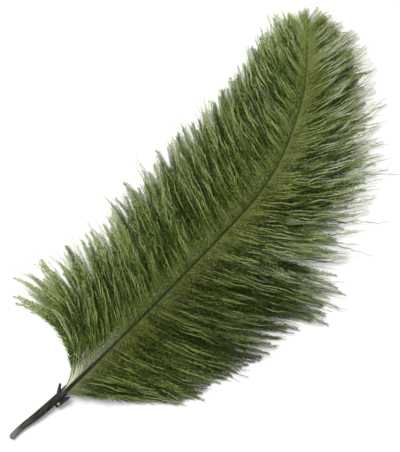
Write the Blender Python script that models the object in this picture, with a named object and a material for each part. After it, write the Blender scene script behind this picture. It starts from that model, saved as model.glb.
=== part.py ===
"""Ostrich feather, lying flat: the shaft, and a plain solid for each row of barbs.

The feather's tip points along +Y, its upper side faces +Z, and the surface it lies on is Z = 0.
Tables are in millimetres. Blender's objects are in metres.
"""

import bmesh
import bpy
import numpy as np

MM = 0.001

# Where the tables' x and y start, so that the origin is the middle of the whole feather.
ROOT_POINT = (-28.35, -144.6)

# The shaft's middle line: x, y, height above the surface, width. Distances along it start at
# its second row, just inside the quill's round end.
SHAFT = np.array([
    (-0.3, -3.2, 1.7, 3.2),
    (0.1, 0.0, 1.7, 3.1),
    (2.3, 8.5, 2.2, 3.6),
    (4.0, 13.3, 2.7, 4.1),
    (5.9, 19.8, 3.4, 4.4),
    (7.5, 26.0, 4.2, 4.4),
    (8.8, 31.5, 4.9, 4.3),
    (11.0, 42.0, 6.3, 3.9),
    (15.6, 62.2, 8.4, 3.2),
    (22.3, 95.0, 10.3, 2.5),
    (30.0, 139.0, 11.3, 2.0),
    (34.1, 164.0, 11.3, 1.8),
    (37.0, 189.0, 10.8, 1.6),
    (35.8, 210.0, 10.0, 1.5),
    (31.8, 228.0, 9.0, 1.3),
    (28.2, 240.0, 8.2, 1.2),
    (24.1, 250.0, 7.4, 1.1),
    (17.8, 261.0, 6.3, 1.0),
    (11.4, 270.6, 5.2, 0.9),
    (4.7, 280.5, 4.0, 0.7),
])
SHAFT_RINGS, END_RINGS, SHAFT_SIDES = 84, 6, 16
END_ROUND = 1.6  # how far the rounding of the quill's end reaches
GROOVE_FROM, GROOVE_FULL = 34.0, 60.0  # distances along the shaft between which the groove begins
GROOVE_DEPTH = 0.32  # of the shaft's half height
GROOVE_WIDTH = 0.5  # of the shaft's half width
FLATNESS = 0.95  # the shaft's height as a share of its width

# What stands off the shaft where the barbs begin: a flake of old sheath, a thin splinter beside it,
# and the broken stub of the lowest left barb. Each has a middle line with widths, and a thickness.
OFFSHOOTS = {
    "flake": (0.8, np.array([
        (10.2, 25.9, 4.0, 2.7),
        (11.0, 28.2, 4.4, 2.8),
        (11.9, 30.8, 5.0, 2.9),
        (12.9, 32.9, 5.6, 2.3),
        (14.2, 34.6, 6.2, 0.6),
    ])),
    "splinter": (0.6, np.array([
        (10.2, 31.0, 4.9, 0.8),
        (11.7, 34.8, 5.6, 0.8),
        (13.1, 37.8, 6.3, 0.4),
    ])),
    "stub": (1.5, np.array([
        (8.6, 31.0, 4.9, 2.4),
        (6.9, 34.4, 5.6, 2.0),
        (5.3, 38.0, 6.3, 1.2),
    ])),
}
OFFSHOOT_RINGS, OFFSHOOT_SIDES = 9, 8

# Barbs: root's distance along the shaft, length, and heading at the root, middle and tip,
# in degrees from +X towards +Y.
LEFT_BARBS = np.array([
    (37.0, 64.0, 112.0, 156.0, 176.0),
    (45.0, 66.0, 114.0, 152.0, 170.0),
    (53.0, 69.0, 118.0, 149.0, 164.0),
    (63.0, 67.0, 124.0, 143.0, 156.0),
    (78.0, 64.0, 132.0, 142.0, 152.0),
    (94.0, 63.0, 140.0, 142.0, 154.0),
    (113.0, 66.0, 150.0, 142.0, 157.0),
    (143.0, 61.0, 156.0, 148.0, 145.0),
    (169.0, 61.0, 157.0, 148.0, 140.0),
    (194.0, 61.0, 162.0, 149.0, 132.0),
    (214.0, 58.0, 164.0, 150.0, 130.0),
    (234.0, 52.0, 166.0, 152.0, 130.0),
    (256.0, 43.0, 164.0, 149.0, 128.0),
    (269.0, 32.0, 152.0, 142.0, 128.0),
    (280.0, 21.0, 146.0, 134.0, 120.0),
    (288.0, 13.0, 138.0, 122.0, 106.0),
])
RIGHT_BARBS = np.array([
    (40.5, 46.0, 26.0, 24.0, 23.0),
    (46.0, 52.0, 25.0, 21.0, 18.0),
    (56.0, 58.0, 20.0, 13.0, 14.0),
    (68.0, 58.0, 9.0, 4.0, 14.0),
    (80.0, 59.0, 5.0, 5.0, 18.0),
    (93.0, 63.0, 5.0, 12.0, 24.0),
    (108.0, 77.0, 9.0, 22.0, 28.0),
    (123.0, 78.0, 13.0, 24.0, 16.0),
    (138.0, 75.0, 11.0, 17.0, 12.0),
    (153.0, 72.0, 13.0, 19.0, 24.0),
    (169.0, 69.0, 18.0, 31.0, 36.0),
    (184.0, 66.0, 21.0, 40.0, 40.0),
    (199.0, 62.0, 26.0, 46.0, 45.0),
    (214.0, 58.0, 34.0, 56.0, 52.0),
    (230.0, 54.0, 44.0, 63.0, 56.0),
    (245.0, 46.0, 56.0, 68.0, 62.0),
    (258.0, 40.0, 66.0, 73.0, 65.0),
    (271.0, 30.0, 73.0, 74.0, 69.0),
    (282.0, 19.0, 81.0, 79.0, 77.0),
    (291.0, 12.2, 97.0, 94.0, 91.0),
])
VANE_ROWS = 64  # along the shaft
VANE_STEPS = 9  # from the root to the tip of a barb
PATH_STEPS = 72  # of the sum that turns headings into a path
GAP = 0.3  # between pieces that touch
ROOT_BELOW = 1.6  # from the shaft's middle line to the underside of the vane
FLAT_FROM = 0.62  # the share of a barb's length past which it lies on the surface
ROOT_THICKNESS, MID_THICKNESS, TIP_THICKNESS = 2.8, 4.4, 2.6


def blend(table, at):
    """Rows of the table at these values of its first column, on smooth curves through its rows."""
    key = table[:, 0]
    at = np.clip(at, key[0], key[-1])
    i = np.clip(np.searchsorted(key, at, side="right") - 1, 0, len(key) - 2)
    slope = np.gradient(table, key, axis=0)
    span = (key[i + 1] - key[i])[:, None]
    f = (at - key[i])[:, None] / span
    return (
        (2 * f**3 - 3 * f**2 + 1) * table[i]
        + (f**3 - 2 * f**2 + f) * span * slope[i]
        + (3 * f**2 - 2 * f**3) * table[i + 1]
        + (f**3 - f**2) * span * slope[i + 1]
    )


def with_distance(points, start=0):
    """The points with their distance from the row start, seen from above, as a new first column."""
    steps = np.linalg.norm(np.diff(points[:, :2], axis=0), axis=1)
    distance = np.concatenate([[0.0], np.cumsum(steps)])
    return np.column_stack([distance - distance[start], points])


def across(line):
    """Unit vectors to the right of a line of points, seen from above."""
    way = np.gradient(line[:, :2], axis=0)
    way /= np.linalg.norm(way, axis=1, keepdims=True)
    return np.column_stack([way[:, 1], -way[:, 0]])


def material(name, rgb, roughness):
    found = bpy.data.materials.new(name)
    found.use_nodes = True
    shader = found.node_tree.nodes["Principled BSDF"]
    shader.inputs["Base Color"].default_value = (*rgb, 1.0)
    shader.inputs["Roughness"].default_value = roughness
    shader.inputs["Metallic"].default_value = 0.0
    return found


def finished(bm, name, look, collection):
    """Turns a bmesh in millimetres, measured from the root point, into a named object."""
    bmesh.ops.translate(bm, vec=(*ROOT_POINT, 0.0), verts=bm.verts)
    bmesh.ops.scale(bm, vec=(MM, MM, MM), verts=bm.verts)
    bmesh.ops.recalc_face_normals(bm, faces=bm.faces)
    for face in bm.faces:
        face.smooth = True
    mesh = bpy.data.meshes.new(name)
    bm.to_mesh(mesh)
    bm.free()
    mesh.materials.append(look)
    made = bpy.data.objects.new(name, mesh)
    collection.objects.link(made)
    return made


def tube(line, sides, section):
    """A closed tube along a line of rows (distance, x, y, z, width). section gives its shape."""
    bm = bmesh.new()
    bmesh.ops.create_grid(bm, x_segments=sides, y_segments=len(line) - 1, size=1.0)
    right = across(line[:, 1:3])
    for vert in bm.verts:
        ring = round((vert.co.y + 1) / 2 * (len(line) - 1))
        turn = round((vert.co.x + 1) / 2 * sides) % sides * 2 * np.pi / sides
        out, up = section(line[ring], turn)
        vert.co = (*(line[ring, 1:3] + right[ring] * out), line[ring, 3] + up)
    bmesh.ops.remove_doubles(bm, verts=bm.verts, dist=1e-5)
    bmesh.ops.holes_fill(bm, edges=[e for e in bm.edges if e.is_boundary])
    return bm


def quill_section(row, turn):
    """Round at the quill, with a groove along the top of the rachis."""
    distance, half = row[0], row[4] / 2
    grooved = np.clip((distance - GROOVE_FROM) / (GROOVE_FULL - GROOVE_FROM), 0.0, 1.0)
    out, up = np.cos(turn), np.sin(turn)
    if up > 0:
        up -= GROOVE_DEPTH * grooved * max(0.0, 1 - (out / GROOVE_WIDTH) ** 2)
    return out * half, up * half * FLATNESS


def build_shaft(collection):
    """The quill and rachis with what stands off them, as one grown piece."""
    table = with_distance(SHAFT, start=1)
    # Rings lie closer together near the quill's end, which is round.
    distances = table[0, 0] + np.concatenate([
        END_ROUND * (1 - np.cos(np.linspace(0.08, 0.5, END_RINGS) * np.pi)),
        np.linspace(END_ROUND, table[-1, 0] - table[0, 0], SHAFT_RINGS)[1:],
    ])
    line = blend(table, distances)
    inside = np.clip((line[:, 0] - table[0, 0]) / END_ROUND, 0.0, 1.0)
    line[:, 4] *= np.sqrt(1 - (1 - inside) ** 2)
    look = material("quill_horn", (0.055, 0.062, 0.043), 0.45)
    shaft = finished(tube(line, SHAFT_SIDES, quill_section), "shaft", look, collection)

    cutters = bpy.data.collections.new("cutters")
    bpy.context.scene.collection.children.link(cutters)
    for name, (thickness, points) in OFFSHOOTS.items():
        table = with_distance(points)
        line = blend(table, np.linspace(0.0, table[-1, 0], OFFSHOOT_RINGS))
        shape = tube(line, OFFSHOOT_SIDES, lambda row, turn, thickness=thickness: (
            np.cos(turn) * row[4] / 2, np.sin(turn) * thickness / 2
        ))
        offshoot = finished(shape, name + "_tool", look, cutters)
        offshoot.hide_render = True
        offshoot.display_type = "WIRE"
        join = shaft.modifiers.new(name, "BOOLEAN")
        join.operation = "UNION"
        join.solver = "EXACT"
        join.object = offshoot


def barb_paths(table, roots, right):
    """Barbs seen from above: (row, step, xy), from the roots at these distances along the shaft."""
    rows = blend(table, roots)
    t = np.linspace(0.0, 1.0, PATH_STEPS + 1)
    at_root, at_mid, at_tip = (2 * t - 1) * (t - 1), 4 * t * (1 - t), t * (2 * t - 1)
    heading = np.radians(
        rows[:, 2:3] * at_root + rows[:, 3:4] * at_mid + rows[:, 4:5] * at_tip
    )
    way = np.stack([np.cos(heading), np.sin(heading)], axis=2)
    steps = (way[:, 1:] + way[:, :-1]) / 2 * (rows[:, 1] / PATH_STEPS)[:, None, None]
    shaft = blend(with_distance(SHAFT, start=1), roots)
    out = (shaft[:, 4] / 2 + GAP) * (1 if right else -1)
    start = shaft[:, 1:3] + across(shaft[:, 1:3]) * out[:, None]
    paths = np.concatenate([np.zeros((len(roots), 1, 2)), np.cumsum(steps, axis=1)], axis=1)
    return start[:, None] + paths, shaft[:, 3]


def build_vane(name, table, right, rgb, collection):
    """The row of barbs on one side of the shaft, as one arched sheet that lies down at its edge."""
    roots = np.linspace(table[0, 0], table[-1, 0], VANE_ROWS + 1)
    paths, shaft_height = barb_paths(table, roots, right)
    bm = bmesh.new()
    grid = bmesh.ops.create_grid(bm, x_segments=VANE_STEPS, y_segments=VANE_ROWS, size=1.0)
    raised = bmesh.ops.extrude_face_region(bm, geom=bm.faces[:], use_keep_orig=True)
    top = {v for v in raised["geom"] if isinstance(v, bmesh.types.BMVert)}
    for vert in grid["verts"] + list(top):
        t = (vert.co.x + 1) / 2
        row = round((vert.co.y + 1) / 2 * VANE_ROWS)
        fall = np.clip(1 - t / FLAT_FROM, 0.0, 1.0)
        low = max(shaft_height[row] - ROOT_BELOW, 0.0) * (3 * fall**2 - 2 * fall**3)
        thick = np.interp(t, (0.0, 0.5, 1.0), (ROOT_THICKNESS, MID_THICKNESS, TIP_THICKNESS))
        vert.co = (*paths[row, round(t * PATH_STEPS)], low + (thick if vert in top else 0.0))
    finished(bm, name, material(name + "_barbs", rgb, 0.9), collection)


def main():
    for old in list(bpy.data.objects):
        bpy.data.objects.remove(old)
    feather = bpy.data.collections.new("ostrich_feather")
    bpy.context.scene.collection.children.link(feather)
    build_shaft(feather)
    build_vane("left_vane", LEFT_BARBS, False, (0.075, 0.118, 0.026), feather)
    build_vane("right_vane", RIGHT_BARBS, True, (0.085, 0.105, 0.024), feather)


main()
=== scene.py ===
from types import SimpleNamespace
import bmesh
import bpy
import numpy as np
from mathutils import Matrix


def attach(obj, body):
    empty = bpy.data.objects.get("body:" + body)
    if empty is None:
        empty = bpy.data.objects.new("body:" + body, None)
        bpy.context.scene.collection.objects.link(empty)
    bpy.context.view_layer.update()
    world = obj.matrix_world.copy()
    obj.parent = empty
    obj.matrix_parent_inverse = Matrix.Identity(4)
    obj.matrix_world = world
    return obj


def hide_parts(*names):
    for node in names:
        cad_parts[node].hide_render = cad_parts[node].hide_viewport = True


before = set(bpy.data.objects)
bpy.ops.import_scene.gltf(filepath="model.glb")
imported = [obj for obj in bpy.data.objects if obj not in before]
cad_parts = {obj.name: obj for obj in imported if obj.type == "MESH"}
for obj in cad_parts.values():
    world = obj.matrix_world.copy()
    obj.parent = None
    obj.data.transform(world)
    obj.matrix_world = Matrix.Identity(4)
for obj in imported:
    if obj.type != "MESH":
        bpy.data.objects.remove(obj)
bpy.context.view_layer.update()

mm = 0.001
rootPoint = np.array([-28.35, -144.6, 0.0])  # where the tables below are measured from, in mm
quillEnd = 3.2  # how far the quill runs on below that point


def curveThrough(table, at):
    # smooth curves through every column of a table, read at values of its first column
    key = table[:, 0]
    at = np.clip(at, key[0], key[-1])
    i = np.clip(np.searchsorted(key, at, side="right") - 1, 0, len(key) - 2)
    slope = np.gradient(table, key, axis=0)
    span = (key[i + 1] - key[i])[:, None]
    f = (at - key[i])[:, None] / span
    return (
        (2 * f**3 - 3 * f**2 + 1) * table[i]
        + (f**3 - 2 * f**2 + f) * span * slope[i]
        + (3 * f**2 - 2 * f**3) * table[i + 1]
        + (f**3 - f**2) * span * slope[i + 1]
    )


def withDistance(points, start):
    # adds each point's distance along the line from the point numbered start
    steps = np.linalg.norm(np.diff(points[:, :2], axis=0), axis=1)
    distance = np.concatenate([[0.0], np.cumsum(steps)])
    return np.column_stack([distance - distance[start], points])


def unit(vectors):
    return vectors / np.maximum(np.linalg.norm(vectors, axis=-1, keepdims=True), 1e-9)


def ease(x):
    x = np.clip(x, 0.0, 1.0)
    return x * x * (3 - 2 * x)


def rampUp(x, start, span):
    # 0 up to start, 1 from span further on
    return ease((x - start) / span)


def rampDown(x, end, span):
    # 1 until span before the end, 0 from there on
    return ease((end - x) / span)


def linear(hexColour):
    values = [int(hexColour[i:i + 2], 16) / 255 for i in (1, 3, 5)]
    return (*[v / 12.92 if v <= 0.04045 else ((v + 0.055) / 1.055) ** 2.4 for v in values], 1.0)


def addNode(tree, kind, settings=None, inputs=None, stops=()):
    node = tree.nodes.new(kind)
    for name, value in (settings or {}).items():
        setattr(node, name, value)
    for name, value in (inputs or {}).items():
        if isinstance(value, bpy.types.NodeSocket):
            tree.links.new(value, node.inputs[name])
        else:
            node.inputs[name].default_value = value
    if stops:
        elements = node.color_ramp.elements
        while len(elements) < len(stops):
            elements.new(0.5)
        for element, (place, colour) in zip(elements, stops):
            element.position = place
            element.color = linear(colour)
    return node


# the shaft's line, the same as the CAD's: x, y, height and width in mm
shaftLine = withDistance(np.array([
    (-0.3, -3.2, 1.7, 3.2),
    (0.1, 0.0, 1.7, 3.1),
    (2.3, 8.5, 2.2, 3.6),
    (4.0, 13.3, 2.7, 4.1),
    (5.9, 19.8, 3.4, 4.4),
    (7.5, 26.0, 4.2, 4.4),
    (8.8, 31.5, 4.9, 4.3),
    (11.0, 42.0, 6.3, 3.9),
    (15.6, 62.2, 8.4, 3.2),
    (22.3, 95.0, 10.3, 2.5),
    (30.0, 139.0, 11.3, 2.0),
    (34.1, 164.0, 11.3, 1.8),
    (37.0, 189.0, 10.8, 1.6),
    (35.8, 210.0, 10.0, 1.5),
    (31.8, 228.0, 9.0, 1.3),
    (28.2, 240.0, 8.2, 1.2),
    (24.1, 250.0, 7.4, 1.1),
    (17.8, 261.0, 6.3, 1.0),
    (11.4, 270.6, 5.2, 0.9),
    (4.7, 280.5, 4.0, 0.7),
]), start=1)


# a barb is one thin tapered ramus with a fringe of barbules on both sides; lengths are in mm
barbs = {
    "spacing": 0.6,  # mm between roots along the shaft
    "jitter": 0.15,  # share of the spacing that a root may be out of its place
    "sparseLength": 10.0,  # mm of shaft where the first barbs stand further apart
    "pathSteps": 64,
    "ramusSteps": 32,
    "rootRadius": 0.17,
    "tipRadius": 0.07,
    "underShare": 0.4,  # barbs that stay low and close the vane under the loose ones
    "underThins": (245.0, 30.0, 0.6),  # from where, over how far and by what share they get fewer
    "underShorter": (0.04, 0.3),  # share of length lost where the vane is closed, and more where open
    "underCalm": 0.4,  # how much of the loose barbs' bends they have
    "strandChance": 0.55,  # that a barb begins a new strand
    "wispChance": 0.18,  # that a barb begins a new wisp, where strands meet at the vane's edge
    "strayShare": 0.06,  # barbs that stand off from their neighbours
    "unruly": (0.4, 0.6),  # how unlike each other barbs are when smooth, and more when frizzy
    "turn": {"lock": 0.8, "wisp": 2.0, "strand": 2.2, "own": 1.6, "stray": 7.0},  # degrees
    "stretch": {"lock": 0.02, "strand": 0.05, "own": 0.045, "stray": 0.07},  # shares of the length
    "curl": (3.0, 14.0, 8.0),  # degrees at the tip: mean, spread by strand and spread of its own
    # how far barbs draw together, least and most, and the share of the length where they begin to
    "gather": {"strand": (0.05, 0.55, 0.15), "wisp": (0.0, 0.6, 0.45), "lock": (0.05, 0.35, 0.6)},
    # waves along a barb: least and most degrees, shortest and longest wave in mm
    "crimp": (6.0, 20.0, 5.0, 9.0),
    "strandWave": (3.0, 12.0, 11.0, 26.0),
    "ownWave": (1.0, 6.0, 8.0, 18.0),
    # waves over the whole vane: how many, and their lengths across and along the barbs in mm
    "flow": (6, (9.0, 32.0), (18.0, 60.0)),
    "flowTurn": 3.0,  # degrees
    "eddy": (9, (4.0, 12.0), (9.0, 26.0)),
    "eddyTurn": (3.0, 4.5),  # degrees when smooth, and more when frizzy
    "hills": (6, (7.0, 22.0), (20.0, 50.0)),
    "arch": 2.0,  # mm, how far a barb 60 mm long rises above an even fall to its tip
    "tipHeight": (2.3, 0.5),  # mm, mean and spread
    "strandLift": 0.7,  # mm
    "weave": (0.9, 14.0, 32.0),  # mm high, shortest and longest wave in mm
    "underDrop": 1.2,  # mm
    "seat": 0.14,  # how far out the barbs sit, as a share of the shaft's width
    "seatHeight": (0.48, 0.4),  # share of its width above the shaft's line, and less further out
    "bareLength": 14.0,  # how far the first barbs have no barbules
    "lowestPath": 0.6,
    "lowest": 0.15,
}
barbules = {
    "spacing": (0.54, 0.46),  # mm along each side of a ramus, for loose and for low barbs
    "length": (1.9, 3.9),
    "halfWidth": (0.085, 0.2),
    "angle": (17.0, 36.0),  # degrees between a barbule and its ramus
    "nearShaft": (0.4, 0.7),  # share of the length where the barb begins
    "nearTip": 0.62,  # share of the length lost at the barb's tip
    "lost": 0.35,  # share of barbules missing at the tips where the vane is open
    "widerNearShaft": 14,  # degrees
    "angleSpread": 6,
    "roll": (8, 30),  # degrees out of the vane's plane, mean and spread
    "waver": 0.13,
    "uneven": 0.28,  # spread of the length, as a share of it
    "shares": (0.35, 1.8),  # the shortest and longest that makes them
    "shoulder": 0.45,  # where along it a barbule is widest
    "thinTips": 0.35,  # share of the width lost at the barb's tip
    "bow": 0.06,  # mm
    "forward": 0.3,  # how much the outer half turns along the ramus
    "droop": 0.08,
}
# how light a barb is, from 0 to 1, what changes that by how much, and how much of its dye has gone
# some entries paint light and shade: light and dark along twisting strands, darker lock edges with lighter
# middles, darker low barbs and pale glints
dyeAndPaintedLight = {
    "middle": 0.44,
    "strand": 0.1,
    # painted highlight and shade along a twisting strand
    "twist": (0.21, 18.0, 60.0),  # how much, shortest and longest wave in mm
    "patches": 0.2,
    "patchWaves": (8, (2.2, 9.0), (14.0, 50.0)),  # as the waves over the vane above
    "own": 0.13,
    "barbule": 0.09,
    # low barbs are darkened as painted shade under the loose ones
    "under": (0.55, 0.5, 0.6),  # low barbs: their share of that, more in light areas and at light tips
    # painted shade at a lock's edges and painted highlight in its middle
    "lockCentre": 0.65,  # a lock's rounding is 0 at its edges and 1 inside: darker below this value
    "stripe": (0.46, 0.2, 0.07),  # beside the shaft: mean, how strong and spread
    "stripeGap": 1.3,  # mm; real barbs stand closer, but their stripes would be too fine to show
    "firstBarbs": (0.1, 0.9),  # the first barbs are either dyed or nearly bare
    "downy": 0.34,  # how pale the down beside the lower rachis is
    "fadedTips": 0.85,
    # painted highlight where a loose strand twists towards the light
    "paintedGlints": 0.55,
}

# root's distance along the shaft, length, heading at the root, middle and tip in degrees
leftTable = np.array([
    (36.0, 79.0, 84.0, 160.0, 192.0),
    (45.0, 78.0, 103.0, 153.0, 184.0),
    (53.0, 74.0, 116.0, 147.0, 170.0),
    (63.0, 69.0, 124.0, 143.0, 159.0),
    (78.0, 64.0, 132.0, 142.0, 152.0),
    (94.0, 63.0, 140.0, 142.0, 154.0),
    (113.0, 66.0, 150.0, 142.0, 157.0),
    (143.0, 63.0, 156.0, 148.0, 145.0),
    (169.0, 64.0, 157.0, 148.0, 140.0),
    (194.0, 62.0, 162.0, 149.0, 136.0),
    (214.0, 57.0, 164.0, 150.0, 137.0),
    (234.0, 52.0, 166.0, 152.0, 138.0),
    (256.0, 42.0, 165.0, 151.0, 140.0),
    (269.0, 31.0, 160.0, 151.0, 142.0),
    (280.0, 19.0, 156.0, 148.0, 140.0),
    (291.0, 9.5, 130.0, 122.0, 115.0),
])
rightTable = np.array([
    (37.0, 43.0, 27.0, 27.0, 28.0),
    (46.0, 52.0, 26.0, 22.0, 20.0),
    (56.0, 56.0, 20.0, 14.0, 16.0),
    (68.0, 58.0, 9.0, 7.0, 16.0),
    (80.0, 63.0, 5.0, 8.0, 18.0),
    (93.0, 69.0, 5.0, 12.0, 22.0),
    (108.0, 78.0, 9.0, 20.0, 26.0),
    (123.0, 81.0, 13.0, 22.0, 18.0),
    (138.0, 83.0, 11.0, 18.0, 15.0),
    (153.0, 79.0, 13.0, 20.0, 25.0),
    (169.0, 73.0, 18.0, 29.0, 34.0),
    (184.0, 70.0, 21.0, 38.0, 40.0),
    (199.0, 67.0, 26.0, 45.0, 46.0),
    (214.0, 61.0, 34.0, 55.0, 52.0),
    (230.0, 54.0, 44.0, 63.0, 56.0),
    (245.0, 46.0, 56.0, 68.0, 62.0),
    (258.0, 39.0, 66.0, 71.0, 62.0),
    (271.0, 28.0, 73.0, 71.0, 62.0),
    (282.0, 18.0, 81.0, 76.0, 70.0),
    (291.0, 10.5, 101.0, 94.0, 86.0),
])

# distance along the shaft, how open the vane is towards its edge, how far its barbs draw together,
# how much lighter the barbs are, how much lighter again at their tips, how strongly light and dark
# barbs differ, and how frizzy their tips are
leftMood = np.array([
    (35.0, 0.4, 1.0, 0.16, 0.7, 1.5, 1.0),
    (50.0, 0.4, 1.0, 0.1, 0.6, 1.5, 1.0),
    (70.0, 0.3, 1.0, 0.0, 0.42, 1.3, 1.0),
    (100.0, 0.2, 1.0, 0.0, 0.32, 1.2, 1.0),
    (150.0, 0.15, 0.9, 0.0, 0.28, 1.2, 0.8),
    (200.0, 0.2, 0.8, 0.04, 0.22, 1.3, 0.6),
    (240.0, 0.3, 0.6, 0.1, 0.22, 1.4, 0.4),
    (270.0, 0.45, 0.2, 0.24, 0.3, 1.8, 0.5),
    (291.0, 0.6, 0.0, 0.36, 0.36, 1.8, 0.7),
])
# the negative tip values on the lower right are painted shade where the vane's edge falls away from the light
rightMood = np.array([
    (37.0, 0.05, 0.4, 0.04, 0.0, 1.2, 0.4),
    (60.0, 0.0, 0.3, 0.0, -0.14, 1.1, 0.2),
    (90.0, 0.0, 0.4, -0.04, -0.22, 1.1, 0.2),
    (110.0, 0.05, 0.6, -0.1, -0.12, 1.1, 0.3),
    (130.0, 0.14, 0.85, -0.08, 0.02, 1.2, 0.5),
    (145.0, 0.3, 0.95, 0.02, 0.1, 1.4, 0.7),
    (160.0, 0.42, 0.95, 0.13, 0.16, 1.7, 0.8),
    (185.0, 0.46, 0.95, 0.15, 0.18, 2.1, 0.8),
    (205.0, 0.54, 0.85, 0.25, 0.2, 2.3, 0.7),
    (235.0, 0.58, 0.65, 0.33, 0.2, 2.3, 0.5),
    (265.0, 0.6, 0.3, 0.38, 0.24, 2.0, 0.5),
    (291.0, 0.6, 0.0, 0.4, 0.36, 1.8, 0.7),
])

# painted shade and painted highlight in soft darker and lighter areas: x, y, half widths and how much lighter
leftPaintedShadeAndLight = ((6, 66, 7, 9, -0.2), (-8, 118, 12, 6, 0.1), (8, 150, 9, 6, -0.12))
rightPaintedShadeAndLight = (
    (82, 108, 15, 8, -0.2), (76, 141, 18, 8, -0.16), (46, 70, 8, 5, -0.16), (62, 186, 6, 16, -0.14),
    (64, 85, 13, 6, 0.16), (70, 119, 7, 4, 0.12), (69, 180, 5, 8, 0.2), (75, 62, 9, 5, -0.15),
    (17, 48, 7, 15, -0.16), (83, 182, 5, 18, -0.3),
)

# single barbs that stand off from the rest: root's distance, share of the length, degrees turned
leftStrays = ((131.0, 1.16, -2.0), (66.0, 1.08, 6.0))
rightStrays = ((169.0, 1.14, -9.0), (150.0, 1.08, -7.0))

# gaps at the vane's edge: the roots' distance along the shaft, half width and share of length lost
leftGaps = ((88.5, 3.5, 0.18), (106.0, 2.0, 0.12), (126.5, 3.5, 0.15))
rightGaps = ((117.0, 2.0, 0.1), (133.0, 2.0, 0.12), (152.0, 2.0, 0.12), (193.0, 2.0, 0.12))

# where one lock of barbs parts from the next, as distances along the shaft
leftPartings = (
    48, 56, 70, 81, 92, 108, 127, 146, 162, 175, 185, 196, 207, 218, 230, 241, 252, 262, 272, 282,
)
rightPartings = (
    50, 62, 74, 87, 98, 108, 121, 133, 145, 154, 166, 178, 190, 200, 209, 219, 229, 239, 250, 261, 272,
)


def ripples(rng, waves, across, along):
    # a smooth random field over root distance and distance along a barb, about -1 to 1
    made = []
    for _ in range(waves):
        lengths = rng.uniform(*across) * rng.choice((-1, 1)), rng.uniform(*along)
        made.append((2 * np.pi / lengths[0], 2 * np.pi / lengths[1], rng.uniform(0, 2 * np.pi)))
    return lambda u, v: sum(np.sin(u * a + v * b + c) for a, b, c in made) / (0.7 * waves) ** 0.5 * 0.75


def waveAlong(out, wave, phase):
    return np.sin(out * (2 * np.pi / wave)[:, None] + phase[:, None])


def drawWaves(rng, limits, count):
    # degrees, wave length and phase of each wave
    least, most, shortest, longest = limits
    return rng.uniform((least, shortest, 0.0), (most, longest, 2 * np.pi), (count, 3))


def shared(rng, spread, group, mean=0.0):
    # one random value for each group of barbs
    return rng.normal(mean, spread, group.max() + 1)[group]


def gather(rng, paths, group, draw, limits, t):
    # draws the barbs of each group together towards their tips
    least, most, start = limits
    groupDraw = np.bincount(group, draw) / np.maximum(np.bincount(group), 1)
    strength = rng.uniform(least, most, len(groupDraw)) * groupDraw
    gathered = paths.copy()
    for number in np.unique(group):
        members = group == number
        middle = paths[members].mean(axis=0)
        pull = (strength[number] * rampUp(t, start, 1 - start))[None, :, None]
        gathered[members] += pull * (middle[None] - paths[members])
    return gathered


def plantBarbs(rng, side):
    # where the barbs leave the shaft, and which of them share a lock, a strand or a wisp
    table = side["table"]
    count = int((table[-1, 0] - table[0, 0]) / barbs["spacing"])
    roots = np.linspace(table[0, 0], table[-1, 0], count)
    roots = roots + rng.uniform(-barbs["jitter"], barbs["jitter"], count) * barbs["spacing"]
    sparse = np.clip((roots - table[0, 0]) / barbs["sparseLength"], 0, 1)
    roots = roots + side["bare"] * barbs["sparseLength"] * (sparse**0.6 - sparse)
    row = SimpleNamespace(count=count, roots=roots, rows=curveThrough(table, roots))
    moods = curveThrough(side["mood"], roots)[:, 1:].T
    row.open, row.draw, row.lighter, row.tipLighter, row.contrast, row.frizz = moods
    thinFrom, thinOver, thinBy = barbs["underThins"]
    row.low = rng.random(count) < barbs["underShare"] * (1 - thinBy * rampUp(roots, thinFrom, thinOver))
    row.lock = np.searchsorted(np.array(side["partings"], float), roots)
    row.strand = np.cumsum(rng.random(count) < barbs["strandChance"])
    row.wisp = np.cumsum(rng.random(count) < barbs["wispChance"])
    row.stray = rng.random(count) < barbs["strayShare"]
    smooth, frizzy = barbs["unruly"]
    row.unruly = smooth + frizzy * row.frizz
    return row


def spreadBarbs(rng, side, row):
    # how far each barb turns away from the heading in the table, and how long it is
    turn, stretch = barbs["turn"], barbs["stretch"]
    closed, opened = barbs["underShorter"]
    row.turn = row.unruly * (
        shared(rng, turn["lock"], row.lock) + shared(rng, turn["wisp"], row.wisp)
        + shared(rng, turn["strand"], row.strand) * ~row.low
        + rng.normal(0.0, turn["own"], row.count)
        + row.stray * rng.normal(0.0, turn["stray"], row.count)
    )
    together = 1 + shared(rng, stretch["lock"], row.lock)
    together = together * (1 + row.unruly * shared(rng, stretch["strand"], row.strand))
    own = 1 + row.unruly * rng.normal(0.0, stretch["own"], row.count)
    own = own - (closed + opened * row.open) * row.low + stretch["stray"] * row.stray * ~row.low
    row.share = together * own
    for centre, halfWidth, lost in side["gaps"]:
        row.share = row.share * (1 - lost * np.exp(-(((row.roots - centre) / halfWidth) ** 2)))
    for place, share, degrees in side["strays"]:
        lone = np.abs(row.roots - place).argmin()
        row.stray[lone] = True
        row.low[lone] = False
        row.share[lone] = share
        row.turn[lone] = degrees
    row.length = row.rows[:, 1] * row.share


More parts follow.
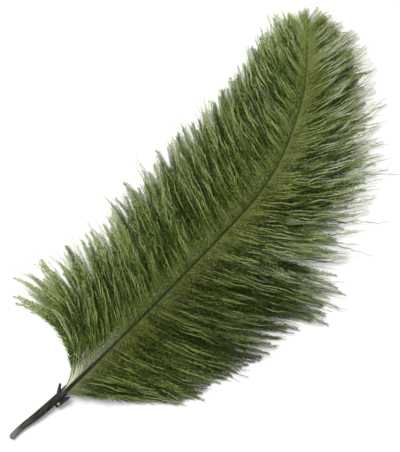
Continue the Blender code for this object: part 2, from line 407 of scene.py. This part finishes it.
def headBarbs(rng, side, row, t):
    # the heading of each barb at each step from its root to its tip, in radians
    out = t[None] * row.length[:, None]
    frizz = row.frizz[:, None]
    loose = np.where(row.low, barbs["underCalm"], 1.0)[:, None]
    curlMean, curlStrand, curlOwn = barbs["curl"]
    curl = shared(rng, curlStrand, row.strand, curlMean) + rng.normal(0.0, curlOwn, row.count)
    strands = row.strand.max() + 1
    crimp = drawWaves(rng, barbs["crimp"], strands)[row.strand]
    strandWave = drawWaves(rng, barbs["strandWave"], strands)[row.strand]
    ownWave = drawWaves(rng, barbs["ownWave"], row.count)

    bend = row.turn[:, None] * rampUp(t, 0.1, 0.7)
    bend = bend + (row.unruly * curl)[:, None] * rampUp(t, 0.55, 0.45) * loose
    flow = barbs["flowTurn"] * ripples(rng, *barbs["flow"])(row.roots[:, None], out)
    eddy = ripples(rng, *barbs["eddy"])(row.roots[:, None], out)
    smooth, frizzy = barbs["eddyTurn"]
    eddy = (smooth + frizzy * frizz) * eddy * rampUp(out, 3.0, 14.0)
    bend = bend + (flow * ease(t / 0.3) + eddy) * loose
    kink = crimp[:, :1] * waveAlong(out, crimp[:, 1], crimp[:, 2])
    bend = bend + kink * (frizz * rampUp(t, 0.5, 0.4) + 0.15) * loose
    for amount, wave, phase in (strandWave.T, ownWave.T):
        bend = bend + amount[:, None] * waveAlong(out, wave, phase) * rampUp(out, 3.0, 18.0) * loose

    atRoot, atMid, atTip = (2 * t - 1) * (t - 1), 4 * t * (1 - t), t * (2 * t - 1)
    heading = row.rows[:, 2:3] * atRoot + row.rows[:, 3:4] * atMid + row.rows[:, 4:5] * atTip
    mirror = 1 if side["right"] else -1
    return np.radians(heading + mirror * bend)


def layBarbs(rng, side, row, t):
    # the barbs' paths on the floor plan, gathered in strands, wisps and locks
    heading = headBarbs(rng, side, row, t)
    way = np.stack([np.cos(heading), np.sin(heading)], axis=2)
    steps = (way[:, 1:] + way[:, :-1]) / 2 * (row.length / barbs["pathSteps"])[:, None, None]
    row.shaft = curveThrough(shaftLine, row.roots)
    along = unit(np.gradient(row.shaft[:, 1:3], axis=0))
    sideways = np.column_stack([along[:, 1], -along[:, 0]]) * (1 if side["right"] else -1)
    seat = side["seat"] - (side["seat"] - barbs["seat"]) * rampUp(row.roots, 38.0, 50.0)
    highest, lower = barbs["seatHeight"]
    row.seatHeight = highest - lower * (seat - barbs["seat"])
    start = row.shaft[:, 1:3] + sideways * (row.shaft[:, 4] * seat)[:, None]
    walked = np.concatenate([np.zeros((row.count, 1, 2)), np.cumsum(steps, axis=1)], axis=1)
    flat = start[:, None] + walked
    limits = barbs["gather"]
    loosePaths = gather(rng, flat, row.strand, row.draw, limits["strand"], t)
    loosePaths = gather(rng, loosePaths, row.wisp, row.draw, limits["wisp"], t)
    flat = np.where((row.low | row.stray)[:, None, None], flat, loosePaths)
    lockPaths = gather(rng, flat, row.lock, row.draw, limits["lock"], t)
    return np.where(row.low[:, None, None], flat, lockPaths)


def liftBarbs(rng, row, t):
    # the paths' heights: from the shaft, over an arch, down to the floor
    out = t[None] * row.length[:, None]
    low = row.low[:, None]
    rootHeight = row.shaft[:, 3] + row.seatHeight * row.shaft[:, 4]
    tipMean, tipSpread = barbs["tipHeight"]
    tipHeight = tipMean + rng.normal(0.0, tipSpread, row.count)
    fall = ease(t / 0.95)[None]
    height = rootHeight[:, None] * (1 - fall) + tipHeight[:, None] * fall
    height = height + barbs["arch"] * (row.length / 60.0)[:, None] * 4 * t * (1 - t)
    hills = ripples(rng, *barbs["hills"])(row.roots[:, None], out)
    strands = row.strand.max() + 1
    weaveHeight, shortest, longest = barbs["weave"]
    wave = rng.uniform(shortest, longest, strands)[row.strand]
    phase = rng.uniform(0, 2 * np.pi, strands)[row.strand]
    lift = shared(rng, barbs["strandLift"], row.strand)[:, None]
    rise = hills + (lift + weaveHeight * waveAlong(out, wave, phase)) * ~low - barbs["underDrop"] * low
    return np.maximum(height + rise * rampUp(out, 2.0, 14.0), barbs["lowestPath"])


def toneBarbs(rng, side, row, flat, t):
    # how light each barb is, from dye and from painted light: painted highlight and shade run along a strand
    # and change where it twists towards and away from the light
    out = t[None] * row.length[:, None]
    low, lighter, contrast = row.low[:, None], row.lighter[:, None], row.contrast[:, None]
    strandTone = shared(rng, 1.0, row.strand)[:, None]
    twistLightAmount, shortest, longest = dyeAndPaintedLight["twist"]
    wave = rng.uniform(shortest, longest, row.count)
    row.twist = waveAlong(out, wave, rng.uniform(0, 6.3, row.count))
    patches = ripples(rng, *dyeAndPaintedLight["patchWaves"])(row.roots[:, None], out)
    own = rng.normal(0.0, dyeAndPaintedLight["own"], row.count)[:, None]
    mixed = dyeAndPaintedLight["strand"] * strandTone + twistLightAmount * row.twist + dyeAndPaintedLight["patches"] * patches + own
    tone = dyeAndPaintedLight["middle"] + contrast * mixed
    tone = tone + lighter + row.tipLighter[:, None] * rampUp(t, 0.45, 0.5)
    # painted shade: low barbs are darker under the loose ones
    share, areas, tips = dyeAndPaintedLight["under"]
    shade = share + areas * lighter
    shade = shade + tips * np.maximum(row.tipLighter, 0)[:, None] * rampUp(t, 0.5, 0.4)
    tone = np.where(low, np.minimum(shade, 1) * tone, tone)

    # painted shade between the locks and painted highlight in their middles, and painted shade and highlight
    # in the soft areas of the tables
    table = side["table"]
    edges = np.array([table[0, 0] - 6, *side["partings"], table[-1, 0] + 6])
    crown = np.sin(np.pi * (row.roots - edges[row.lock]) / (edges[row.lock + 1] - edges[row.lock]))
    tone = tone + side["lockShade"] * (crown[:, None] - dyeAndPaintedLight["lockCentre"]) * rampUp(t, 0.2, 0.3)
    for x, y, halfX, halfY, amount in side["paintedShadeAndLight"]:
        spread = np.exp(-((flat[..., 0] - x) / halfX) ** 2 - ((flat[..., 1] - y) / halfY) ** 2)
        tone = tone + amount * spread

    mean, strength, uneven = dyeAndPaintedLight["stripe"]
    stripe = mean + 0.6 * row.lighter + strength * np.sin(row.roots * 2 * np.pi / dyeAndPaintedLight["stripeGap"])
    stripe = (stripe + rng.normal(0.0, uneven, row.count))[:, None]
    return np.clip(stripe + (tone - stripe) * rampUp(out, 2.0, 9.0), 0, 1)


def paleBarbs(rng, side, row, t):
    # the first barbs are hardly dyed where they leave the quill, frizzy tips have faded, and painted glints
    # pale the loose strands where they twist towards the light
    out = t[None] * row.length[:, None]
    bare = side["bare"] * rampDown(row.roots, 60.0, 18.0)
    firstBarbs = bare * rng.choice(dyeAndPaintedLight["firstBarbs"], row.count)
    pale = firstBarbs[:, None] * (1 - rampUp(out, 5.0, 9.0))
    paled = (row.frizz * rng.uniform(0, 1, row.count))[:, None] * rampUp(t, 0.65, 0.35)
    # painted glints where a loose strand twists towards the light
    paintedGlints = (row.contrast[:, None] - 1) * np.clip(row.twist, 0, 1) * rampUp(t, 0.2, 0.3)
    paintedGlints = paintedGlints * ~row.low[:, None]
    pale = np.maximum(pale, np.maximum(dyeAndPaintedLight["fadedTips"] * paled, dyeAndPaintedLight["paintedGlints"] * paintedGlints))
    downy = dyeAndPaintedLight["downy"] * side["bare"] * rampDown(row.roots, 96.0, 50.0)  # beside the lower rachis
    return np.maximum(pale, downy[:, None] * (1 - rampUp(out, 1.5, 5.0)))


def growBarbs(side):
    # here and above, t runs from 0 at a barb's root to 1 at its tip, and out is the same in mm
    rng = np.random.default_rng(side["seed"])
    t = np.linspace(0.0, 1.0, barbs["pathSteps"] + 1)
    row = plantBarbs(rng, side)
    spreadBarbs(rng, side, row)
    flat = layBarbs(rng, side, row, t)
    height = liftBarbs(rng, row, t)
    tone = toneBarbs(rng, side, row, flat, t)
    pale = paleBarbs(rng, side, row, t)
    return {
        "paths": np.concatenate([flat, height[:, :, None]], axis=2),
        "length": row.length,
        "tone": tone,
        "pale": pale,
        "bareLength": barbs["bareLength"] * side["bare"] * rampDown(row.roots, 56.0, 14.0),
        "low": row.low.astype(int),
        "open": row.open,
    }


mapEdge = 0.01  # share of the map left free at its bottom and top
ramusOnMap = 0.04  # half width of a ramus on the map, as a share of its barb's column


def ramusParts(grown, chosen):
    # three-sided tapered tubes, as corners, triangles, map places, tones, fringe shares and paleness
    stride = barbs["pathSteps"] // barbs["ramusSteps"]
    paths = grown["paths"][chosen][:, ::stride]
    count, rings = paths.shape[:2]
    along = unit(np.gradient(paths, axis=1))
    side = unit(np.cross(along, (0.0, 0.0, 1.0)))
    up = np.cross(side, along)
    t = np.linspace(0.0, 1.0, rings)
    radius = barbs["rootRadius"] * (1 - t) ** 0.7 + barbs["tipRadius"]
    turns = np.radians((90.0, 210.0, 330.0))
    ring = side[:, :, None] * np.cos(turns)[:, None] + up[:, :, None] * np.sin(turns)[:, None]
    corners = paths[:, :, None] + ring * radius[None, :, None, None]
    index = np.arange(count * rings * 3).reshape(count, rings, 3)
    a, b = index[:, :-1], index[:, 1:]
    nextA, nextB = np.roll(a, -1, axis=2), np.roll(b, -1, axis=2)
    walls = np.concatenate([
        np.stack([a, nextA, b], axis=-1).reshape(-1, 3),
        np.stack([nextA, nextB, b], axis=-1).reshape(-1, 3),
        index[:, 0, ::-1].reshape(-1, 3),
        index[:, -1].reshape(-1, 3),
    ])
    across = np.broadcast_to(0.5 + ramusOnMap * np.cos(turns), (count, rings, 3))
    number = np.arange(count)[:, None, None]
    mapPlace = np.stack([
        (number + across) / count,
        np.broadcast_to(mapEdge + (1 - 2 * mapEdge) * t[None, :, None], (count, rings, 3)),
    ], axis=-1).reshape(-1, 2)
    tone, pale = [
        np.broadcast_to(grown[key][chosen][:, ::stride, None], (count, rings, 3)).reshape(-1)
        for key in ("tone", "pale")
    ]
    return corners.reshape(-1, 3), walls, mapPlace, tone, np.zeros(len(tone)), pale


def barbuleParts(grown, chosen, seed):
    # closed slivers of four faces each: a root, two shoulders and a tip
    rng = np.random.default_rng(seed)
    paths, length, low = grown["paths"][chosen], grown["length"][chosen], grown["low"][chosen]
    gap = np.array(barbules["spacing"])[low]
    perSide = np.maximum(((length - 1.0) / gap).astype(int), 1)
    barb = np.repeat(np.arange(len(length)), perSide * 2)
    within = np.concatenate([np.arange(n * 2) for n in perSide])
    place = 0.6 + (within // 2 + rng.uniform(0, 1, len(barb))) * gap[barb]
    t = np.clip(place / length[barb], 0.0, 0.995)
    missing = grown["open"][chosen][barb] * barbules["lost"] * rampUp(t, 0.5, 0.4) * (1 - low[barb])
    kept = (rng.random(len(barb)) > missing) & (place > grown["bareLength"][chosen][barb])
    barb, within, place, t = barb[kept], within[kept], place[kept], t[kept]
    kind, total = low[barb], len(barb)
    sign = np.where(within % 2 == 0, 1.0, -1.0)
    at = t * barbs["pathSteps"]
    i = np.minimum(at.astype(int), barbs["pathSteps"] - 1)
    here, after = paths[barb, i], paths[barb, i + 1]
    root = here + (after - here) * (at - i)[:, None]
    along = unit(after - here)
    side = unit(np.cross(along, (0.0, 0.0, 1.0))) * sign[:, None]
    up = unit(np.cross(side, along)) * sign[:, None]

    # each stands at its own angle to the ramus, wider beside the shaft, and bends forward
    angle = np.array(barbules["angle"])[kind] + barbules["widerNearShaft"] * (1 - ease(place / 8.0))
    spread = np.radians(angle + rng.normal(0, barbules["angleSpread"], total))[:, None]
    roll = np.radians(rng.normal(*barbules["roll"], total))[:, None]
    fringe = side * np.cos(roll) + up * np.sin(roll)
    first = along * np.cos(spread) + fringe * np.sin(spread)
    waver = rng.normal(0, barbules["waver"], (total, 3))
    second = unit(first + barbules["forward"] * along + waver - (0, 0, barbules["droop"]))
    shortest = np.array(barbules["nearShaft"])[kind]
    near = shortest + (1 - shortest) * rampUp(place, 2.0, 9.0)
    reach = np.array(barbules["length"])[kind] * near
    reach = reach * (1 - barbules["nearTip"] * rampUp(t, 0.66, 0.34))
    uneven = np.clip(1 + rng.normal(0, barbules["uneven"], total), *barbules["shares"])
    reach = (reach * uneven)[:, None]
    bow = np.cross(first, side)
    bow = unit(bow * np.where(bow[:, 2:] < 0, -1.0, 1.0))
    half = np.array(barbules["halfWidth"])[kind] * (1 - barbules["thinTips"] * rampUp(t, 0.7, 0.3))
    wide = unit(np.cross(first, bow)) * half[:, None]
    middle = root + first * reach * barbules["shoulder"] + bow * barbules["bow"]
    tip = middle + second * reach * (1 - barbules["shoulder"])
    shoulders = np.stack([middle + wide, middle - wide], axis=1)
    inside = np.einsum("ij,ij->i", np.cross(shoulders[:, 0] - root, shoulders[:, 1] - root), tip - root)
    shoulders = np.where((inside > 0)[:, None, None], shoulders[:, ::-1], shoulders)
    corners = np.stack([root, shoulders[:, 0], shoulders[:, 1], tip], axis=1)
    base = np.arange(total)[:, None] * 4
    faces = np.concatenate([base + order for order in ((0, 1, 2), (0, 3, 1), (0, 2, 3), (1, 3, 2))])

    # every barbule has a small place of its own beside its ramus on the map
    step = (1 - 2 * mapEdge) / perSide[barb]
    v = mapEdge + (within // 2 + 0.5) * step
    u = np.array([0.1, 0.28, 0.28, 0.47]) * sign[:, None]
    slip = np.array([0.0, -0.42, 0.42, 0.0]) * step[:, None]
    mapPlace = np.stack([(barb[:, None] + 0.5 + u) / len(length), v[:, None] + slip], axis=-1)
    tone = grown["tone"][chosen][barb, i] + rng.normal(0.0, dyeAndPaintedLight["barbule"], total)
    tone = np.repeat(np.clip(tone, 0, 1), 4)
    fringeShare = np.tile((0.3, 0.7, 0.7, 1.0), total)
    pale = np.repeat(grown["pale"][chosen][barb, i], 4)
    return corners.reshape(-1, 3), faces, mapPlace.reshape(-1, 2), tone, fringeShare, pale


def fibreMesh(name, parts, material):
    # joins all the rami and barbules of a piece into one mesh
    columns = [[], [], [], [], [], []]
    offset = 0
    for corners, triangles, *others in parts:
        for column, values in zip(columns, (corners, triangles + offset, *others)):
            column.append(values)
        offset += len(corners)
    places, faces, mapPlaces, tones, fringes, pales = [np.concatenate(column) for column in columns]
    places = places + rootPoint
    places[:, 2] = np.maximum(places[:, 2], barbs["lowest"])
    faces = faces.astype(np.int32)
    mesh = bpy.data.meshes.new(name)
    mesh.vertices.add(len(places))
    mesh.vertices.foreach_set("co", (places * mm).astype(np.float32).ravel())
    mesh.loops.add(faces.size)
    mesh.loops.foreach_set("vertex_index", faces.ravel())
    mesh.polygons.add(len(faces))
    mesh.polygons.foreach_set("loop_start", np.arange(0, faces.size, 3, dtype=np.int32))
    mesh.update(calc_edges=True)
    mesh.polygons.foreach_set("use_smooth", np.ones(len(faces), bool))
    strip = mesh.uv_layers.new(name="OFBake")
    strip.uv.foreach_set("vector", mapPlaces[faces.ravel()].astype(np.float32).ravel())
    for label, values in (("tone", tones), ("fringe", fringes), ("pale", pales)):
        mesh.attributes.new(label, "FLOAT", "POINT").data.foreach_set("value", values.astype(np.float32))
    mesh.materials.append(material)
    made = bpy.data.objects.new(name, mesh)
    bpy.context.scene.collection.objects.link(made)
    print(name, len(faces), "triangles")
    return made


# colours from a barb's root to its tip; the right vane is a touch lighter
leftDye = {
    "alongBarb": ((0.0, "#a3ac78"), (0.1, "#a3ac78"), (0.26, "#a1b37a"), (0.62, "#afc086"), (1.0, "#d8e4b8")),
    "patchHex": "#ece8cc",
}
rightDye = {
    "alongBarb": ((0.0, "#a3aa76"), (0.1, "#a3aa76"), (0.26, "#a6b67e"), (0.62, "#b3c189"), (1.0, "#d8e2b4")),
    "patchHex": "#eae6c8",
}
vaneDye = {
    "tones": ((0.0, "#58633f"), (0.3, "#8f9b6f"), (0.6, "#d2dcb4"), (1.0, "#ffffe8")),
    "fringe": ((0.0, "#ffffff"), (0.3, "#dfe3d2"), (1.0, "#f4f6ea")),
    "patchWidth": 22,  # mm, areas where the dye took more warmly
    "patchStrength": 0.7,
    # the colour of faded tips, also used for the painted glints
    "fadedAndGlintHex": "#e4e8d0",
}


def dyedBarbs(name, dye):
    # dyed ostrich barbs: loose fine keratin threads, which make the vane look matt and soft
    material = bpy.data.materials.new(name)
    material.use_nodes = True
    tree = material.node_tree
    tree.nodes.clear()
    multiply = {"data_type": "RGBA", "blend_type": "MULTIPLY"}
    strip = addNode(tree, "ShaderNodeUVMap", {"uv_map": "OFBake"})
    split = addNode(tree, "ShaderNodeSeparateXYZ", {}, {"Vector": strip.outputs["UV"]})
    alongBarb = addNode(tree, "ShaderNodeValToRGB", {}, {"Fac": split.outputs["Y"]}, dye["alongBarb"])
    tone = addNode(tree, "ShaderNodeAttribute", {"attribute_name": "tone"})
    toneRamp = addNode(tree, "ShaderNodeValToRGB", {}, {"Fac": tone.outputs["Fac"]}, vaneDye["tones"])
    shaded = addNode(tree, "ShaderNodeMix", multiply, {
        "Factor": 1.0, "A": alongBarb.outputs["Color"], "B": toneRamp.outputs["Color"],
    })
    fringe = addNode(tree, "ShaderNodeAttribute", {"attribute_name": "fringe"})
    fringeRamp = addNode(tree, "ShaderNodeValToRGB", {}, {"Fac": fringe.outputs["Fac"]}, vaneDye["fringe"])
    cored = addNode(tree, "ShaderNodeMix", multiply, {
        "Factor": 1.0, "A": shaded.outputs["Result"], "B": fringeRamp.outputs["Color"],
    })
    place = addNode(tree, "ShaderNodeTexCoord")
    patches = addNode(tree, "ShaderNodeTexNoise", {}, {
        "Vector": place.outputs["Object"], "Scale": 1 / (vaneDye["patchWidth"] * mm), "Detail": 2.0,
    })
    patchStops = ((0.35, "#ffffff"), (0.65, dye["patchHex"]))
    patchRamp = addNode(tree, "ShaderNodeValToRGB", {}, {"Fac": patches.outputs["Fac"]}, patchStops)
    dyed = addNode(tree, "ShaderNodeMix", multiply, {
        "Factor": vaneDye["patchStrength"],
        "A": cored.outputs["Result"],
        "B": patchRamp.outputs["Color"],
    })
    # pale holds undyed and faded barbs and also the painted glints
    pale = addNode(tree, "ShaderNodeAttribute", {"attribute_name": "pale"})
    paled = addNode(tree, "ShaderNodeMix", {"data_type": "RGBA"}, {
        "Factor": pale.outputs["Fac"], "A": dyed.outputs["Result"], "B": linear(vaneDye["fadedAndGlintHex"]),
    })
    shader = addNode(tree, "ShaderNodeBsdfPrincipled", {}, {
        "Base Color": paled.outputs["Result"], "Roughness": 0.85, "Specular IOR Level": 0.12,
    })
    addNode(tree, "ShaderNodeOutputMaterial", {}, {"Surface": shader.outputs["BSDF"]})
    return material


horn = {
    "length": 282 + quillEnd,  # mm of the shaft that the colours below are spread over
    "alongShaft": (
        (0.0, "#8a858c"), (0.012, "#747373"), (0.03, "#4c5248"), (0.06, "#363b31"), (0.11, "#272c20"),
        (0.132, "#423e42"), (0.15, "#292b20"), (0.21, "#22261a"), (0.35, "#161a0a"), (0.65, "#1e240e"),
        (1.0, "#566034"),
    ),
    "furrowGap": 0.9,  # mm; real furrows are finer, but would be too fine to show
    "furrowTurn": 17.0,  # degrees, how the quill lies from +Y
    "furrows": ((0.38, "#2c2c2c"), (0.62, "#d8d8d8")),
    "furrowStrength": 0.7,
    # painted shade on the quill's flanks, lighter along its top
    "paintedFlankShade": ((0.4, "#484b42"), (0.85, "#ffffff")),
    "pithHex": "#a9af97",
    "pithPlace": (10.8, 27.9, 4.6),  # mm from rootPoint
    "pithRadius": (0.5, 1.0),  # mm, of the spot and of its soft edge
}


def dyedHorn():
    # the quill: dyed keratin horn, scraped and dull, paler where the dye didn't take at its tip
    material = bpy.data.materials.new("dyedHorn")
    material.use_nodes = True
    tree = material.node_tree
    tree.nodes.clear()
    place = addNode(tree, "ShaderNodeTexCoord")
    split = addNode(tree, "ShaderNodeSeparateXYZ", {}, {"Vector": place.outputs["Object"]})
    start = rootPoint[1] - quillEnd
    span = addNode(tree, "ShaderNodeMapRange", {}, {
        "Value": split.outputs["Y"], "From Min": start * mm, "From Max": (start + horn["length"]) * mm,
    })
    dye = addNode(tree, "ShaderNodeValToRGB", {}, {"Fac": span.outputs["Result"]}, horn["alongShaft"])
    lengthwise = addNode(tree, "ShaderNodeMapping", {}, {
        "Vector": place.outputs["Object"],
        "Rotation": (0.0, 0.0, np.radians(horn["furrowTurn"])),
        "Scale": (1.0, 0.1, 1.0),
    })
    streaks = addNode(tree, "ShaderNodeTexNoise", {}, {
        "Vector": lengthwise.outputs["Vector"], "Scale": 1 / (horn["furrowGap"] * mm), "Detail": 3.0,
    })
    furrows = addNode(tree, "ShaderNodeValToRGB", {}, {"Fac": streaks.outputs["Fac"]}, horn["furrows"])
    worn = addNode(tree, "ShaderNodeMix", {"data_type": "RGBA", "blend_type": "OVERLAY"}, {
        "Factor": horn["furrowStrength"], "A": dye.outputs["Color"], "B": furrows.outputs["Color"],
    })
    # painted shade and highlight: the quill is darker on its flanks and lighter along its top, by which way
    # its surface faces
    facing = addNode(tree, "ShaderNodeSeparateXYZ", {}, {"Vector": place.outputs["Normal"]})
    paintedFlankShade = addNode(tree, "ShaderNodeValToRGB", {}, {"Fac": facing.outputs["Z"]}, horn["paintedFlankShade"])
    edged = addNode(tree, "ShaderNodeMix", {"data_type": "RGBA", "blend_type": "MULTIPLY"}, {
        "Factor": 1.0, "A": worn.outputs["Result"], "B": paintedFlankShade.outputs["Color"],
    })
    # undyed pith shows where the flake of sheath has lifted
    spot = addNode(tree, "ShaderNodeVectorMath", {"operation": "DISTANCE"}, {
        0: place.outputs["Object"], 1: tuple((rootPoint + horn["pithPlace"]) * mm),
    })
    spotRadius, edgeRadius = horn["pithRadius"]
    near = addNode(tree, "ShaderNodeMapRange", {}, {
        "Value": spot.outputs["Value"], "From Min": edgeRadius * mm, "From Max": spotRadius * mm,
    })
    lifted = addNode(tree, "ShaderNodeMix", {"data_type": "RGBA"}, {
        "Factor": near.outputs["Result"], "A": edged.outputs["Result"], "B": linear(horn["pithHex"]),
    })
    shader = addNode(tree, "ShaderNodeBsdfPrincipled", {}, {
        "Base Color": lifted.outputs["Result"], "Roughness": 0.6, "Specular IOR Level": 0.15,
    })
    addNode(tree, "ShaderNodeOutputMaterial", {}, {"Surface": shader.outputs["BSDF"]})
    return material


# each vane is made in three stretches, from and to these shares of its barbs' whole length
pieceShares = (("base", 0.0, 0.34), ("middle", 0.34, 0.66), ("tip", 0.66, 1.0))


def buildSide(name, side, material):
    grown = growBarbs(side)
    reach = np.cumsum(grown["length"]) / grown["length"].sum()
    for step, (part, low, high) in enumerate(pieceShares):
        chosen = np.flatnonzero((reach > low) & (reach <= high))
        parts = [ramusParts(grown, chosen), barbuleParts(grown, chosen, side["seed"] * 10 + step)]
        piece = fibreMesh(f"{name}_barbs_{part}", parts, material)
        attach(piece, "root")
        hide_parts(f"{name}_vane")
    print(name, len(grown["length"]), "barbs")


leftSide = {
    "seed": 24,
    "table": leftTable,
    "mood": leftMood,
    "partings": leftPartings,
    "gaps": leftGaps,
    "paintedShadeAndLight": leftPaintedShadeAndLight,
    "strays": leftStrays,
    "bare": 1.0,  # how bare and pale the first barbs are
    "seat": 0.16,  # how far out the first barbs sit, as a share of the shaft's width
    "lockShade": 0.24,  # how dark it is between the locks
    "right": False,
}
rightSide = {
    "seed": 46,
    "table": rightTable,
    "mood": rightMood,
    "partings": rightPartings,
    "gaps": rightGaps,
    "paintedShadeAndLight": rightPaintedShadeAndLight,
    "strays": rightStrays,
    "bare": 0.1,
    "seat": 0.4,
    "lockShade": 0.3,
    "right": True,
}
buildSide("left", leftSide, dyedBarbs("dyedBarbsLeft", leftDye))
buildSide("right", rightSide, dyedBarbs("dyedBarbsRight", rightDye))
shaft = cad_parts["shaft"]
shaft.material_slots[0].material = dyedHorn()
print("shaft dressed")

studio = {
    "floor": "#fbfbfb",
    "floorSize": 3.0,  # metres
    "worldStrength": 0.5,
    "keyPower": 13.0,
    "keySize": 0.6,  # metres
    "keyPlace": (-0.45, 0.4, 1.05),  # metres to the camera's right, up its view and off the floor
}
view = {
    "middle": (-8.45, 8.8),  # mm, what the camera looks straight down at
    "turn": 34.4,  # degrees, how the camera's right lies from +X
    "height": 1.25,  # metres above the floor
    "sensor": 24.0,  # mm
    "tall": 251.1,  # mm of floor from the bottom of the camera's view to its top
}


def buildFloor():
    shape = bmesh.new()
    bmesh.ops.create_grid(shape, x_segments=1, y_segments=1, size=studio["floorSize"] / 2)
    mesh = bpy.data.meshes.new("floor")
    shape.to_mesh(mesh)
    shape.free()
    floor = bpy.data.objects.new("floor", mesh)
    bpy.context.scene.collection.objects.link(floor)
    paper = bpy.data.materials.new("whitePaper")
    paper.use_nodes = True
    surface = paper.node_tree.nodes["Principled BSDF"]
    surface.inputs["Base Color"].default_value = linear(studio["floor"])
    surface.inputs["Roughness"].default_value = 0.9
    mesh.materials.append(paper)


def lightStudio():
    world = bpy.data.worlds.new("softRoom")
    world.use_nodes = True
    background = world.node_tree.nodes["Background"]
    background.inputs["Color"].default_value = (1, 1, 1, 1)
    background.inputs["Strength"].default_value = studio["worldStrength"]
    bpy.context.scene.world = world

    turn = np.radians(view["turn"])
    right = np.array([np.cos(turn), np.sin(turn)])
    up = np.array([-np.sin(turn), np.cos(turn)])
    rightBy, upBy, height = studio["keyPlace"]
    spot = right * rightBy + up * upBy + np.array(view["middle"]) * mm
    lamp = bpy.data.lights.new("key", "AREA")
    lamp.shape = "DISK"
    lamp.size = studio["keySize"]
    lamp.energy = studio["keyPower"]
    key = bpy.data.objects.new("key", lamp)
    key.location = (*spot, height)
    aim = bpy.data.objects.new("aim", None)
    bpy.context.scene.collection.objects.link(aim)
    track = key.constraints.new("TRACK_TO")
    track.target = aim
    track.track_axis = "TRACK_NEGATIVE_Z"
    track.up_axis = "UP_Y"
    bpy.context.scene.collection.objects.link(key)


def placeCamera():
    data = bpy.data.cameras.new("camera")
    data.sensor_fit = "VERTICAL"
    data.sensor_height = view["sensor"]
    data.lens = view["sensor"] * view["height"] / (view["tall"] * mm)
    camera = bpy.data.objects.new("camera", data)
    camera.location = (view["middle"][0] * mm, view["middle"][1] * mm, view["height"])
    camera.rotation_euler = (0, 0, np.radians(view["turn"]))
    bpy.context.scene.collection.objects.link(camera)
    bpy.context.scene.camera = camera


buildFloor()
lightStudio()
placeCamera()
bpy.context.scene.view_settings.view_transform = "Standard"
print("studio ready")
